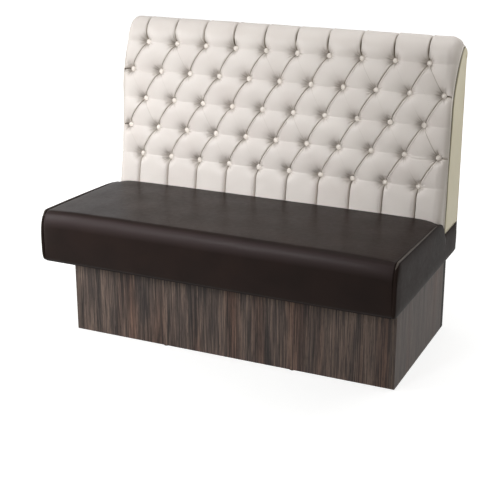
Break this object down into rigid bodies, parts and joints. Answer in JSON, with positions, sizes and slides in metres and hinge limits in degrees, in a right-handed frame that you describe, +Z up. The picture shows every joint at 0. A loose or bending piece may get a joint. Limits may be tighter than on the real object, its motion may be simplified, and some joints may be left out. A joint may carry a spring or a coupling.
{
  "type": "upholstered banquette bench",
  "caption": "Straight two-person banquette bench with a dark woodgrain box plinth, a dark padded seat and a light deep-buttoned back that rolls over at the top.",
  "frame": {"origin": "middle of the footprint, on the floor", "axes": "+X along the bench to the sitter's left, +Y from the seat to the back, +Z up"},
  "size_m": [1.212, 0.697, 1.0167],
  "materials": {
    "glide_plastic": "black moulded nail-in glide",
    "plinth_front_laminate": "dark grey-brown vertical woodgrain melamine on chipboard, matt",
    "plinth_side_laminate": "grey-brown vertical woodgrain melamine on chipboard, matt",
    "plinth_rear_laminate": "dark brown melamine on chipboard, matt",
    "raw_chipboard": "raw chipboard",
    "beech": "planed beech",
    "pine": "planed pine",
    "plywood": "sanded plywood",
    "zinc_steel": "bright zinc plated steel",
    "foam": "cream open-cell foam",
    "seat_leatherette": "dark brown leatherette with fine grain, satin",
    "seat_welt_leatherette": "dark brown leatherette turned over a cord, satin",
    "dust_cloth": "black non-woven cloth",
    "back_leatherette": "light grey-beige leatherette with fine grain, satin",
    "back_side_leatherette": "grey-beige leatherette with fine grain, satin",
    "button_leatherette": "light leatherette stretched over a domed button",
    "twine": "waxed upholstery twine"
  },
  "bodies": {
    "root": {"plinth_glides": "glide_plastic", "plinth_front_panel": "plinth_front_laminate", "plinth_left_panel": "plinth_side_laminate", "plinth_right_panel": "plinth_side_laminate", "plinth_rear_panel": "plinth_rear_laminate", "plinth_partition": "raw_chipboard", "plinth_edge_bands": "plinth_front_laminate", "plinth_front_batten": "beech", "plinth_rear_batten": "beech", "plinth_left_batten": "beech", "plinth_right_batten": "beech", "plinth_corner_blocks": "beech", "plinth_dowels": "beech", "plinth_batten_screws": "zinc_steel", "seat_fixing_screws": "zinc_steel", "seat_front_rail": "pine", "seat_middle_rail": "pine", "seat_rear_rail": "pine", "seat_left_rail": "pine", "seat_right_rail": "pine", "seat_front_left_cross_rail": "pine", "seat_front_right_cross_rail": "pine", "seat_rear_left_cross_rail": "pine", "seat_rear_right_cross_rail": "pine", "seat_corner_blocks": "beech", "seat_frame_screws": "zinc_steel", "seat_board": "plywood", "seat_foam": "foam", "seat_cover": "seat_leatherette", "seat_left_cover": "seat_leatherette", "seat_right_cover": "seat_leatherette", "seat_left_welt": "seat_welt_leatherette", "seat_right_welt": "seat_welt_leatherette", "seat_rear_cover": "seat_leatherette", "seat_dust_cloth": "dust_cloth", "back_left_cheek": "plywood", "back_right_cheek": "plywood", "back_left_rib": "plywood", "back_right_rib": "plywood", "back_lower_front_rail": "pine", "back_lower_rear_rail": "pine", "back_middle_rail": "pine", "back_top_board": "pine", "back_frame_screws": "zinc_steel", "back_coach_screws": "zinc_steel", "back_washers": "zinc_steel", "back_tuft_board": "plywood", "back_foam": "foam", "back_tufted_cover": "back_leatherette", "back_buttons": "button_leatherette", "back_button_twines": "twine", "back_button_anchors": "zinc_steel", "back_left_cover": "back_side_leatherette", "back_right_cover": "back_side_leatherette", "back_left_welt": "back_leatherette", "back_right_welt": "back_leatherette", "back_rear_panel": "plywood", "back_rear_cover": "back_side_leatherette"}
  },
  "joints": []
}
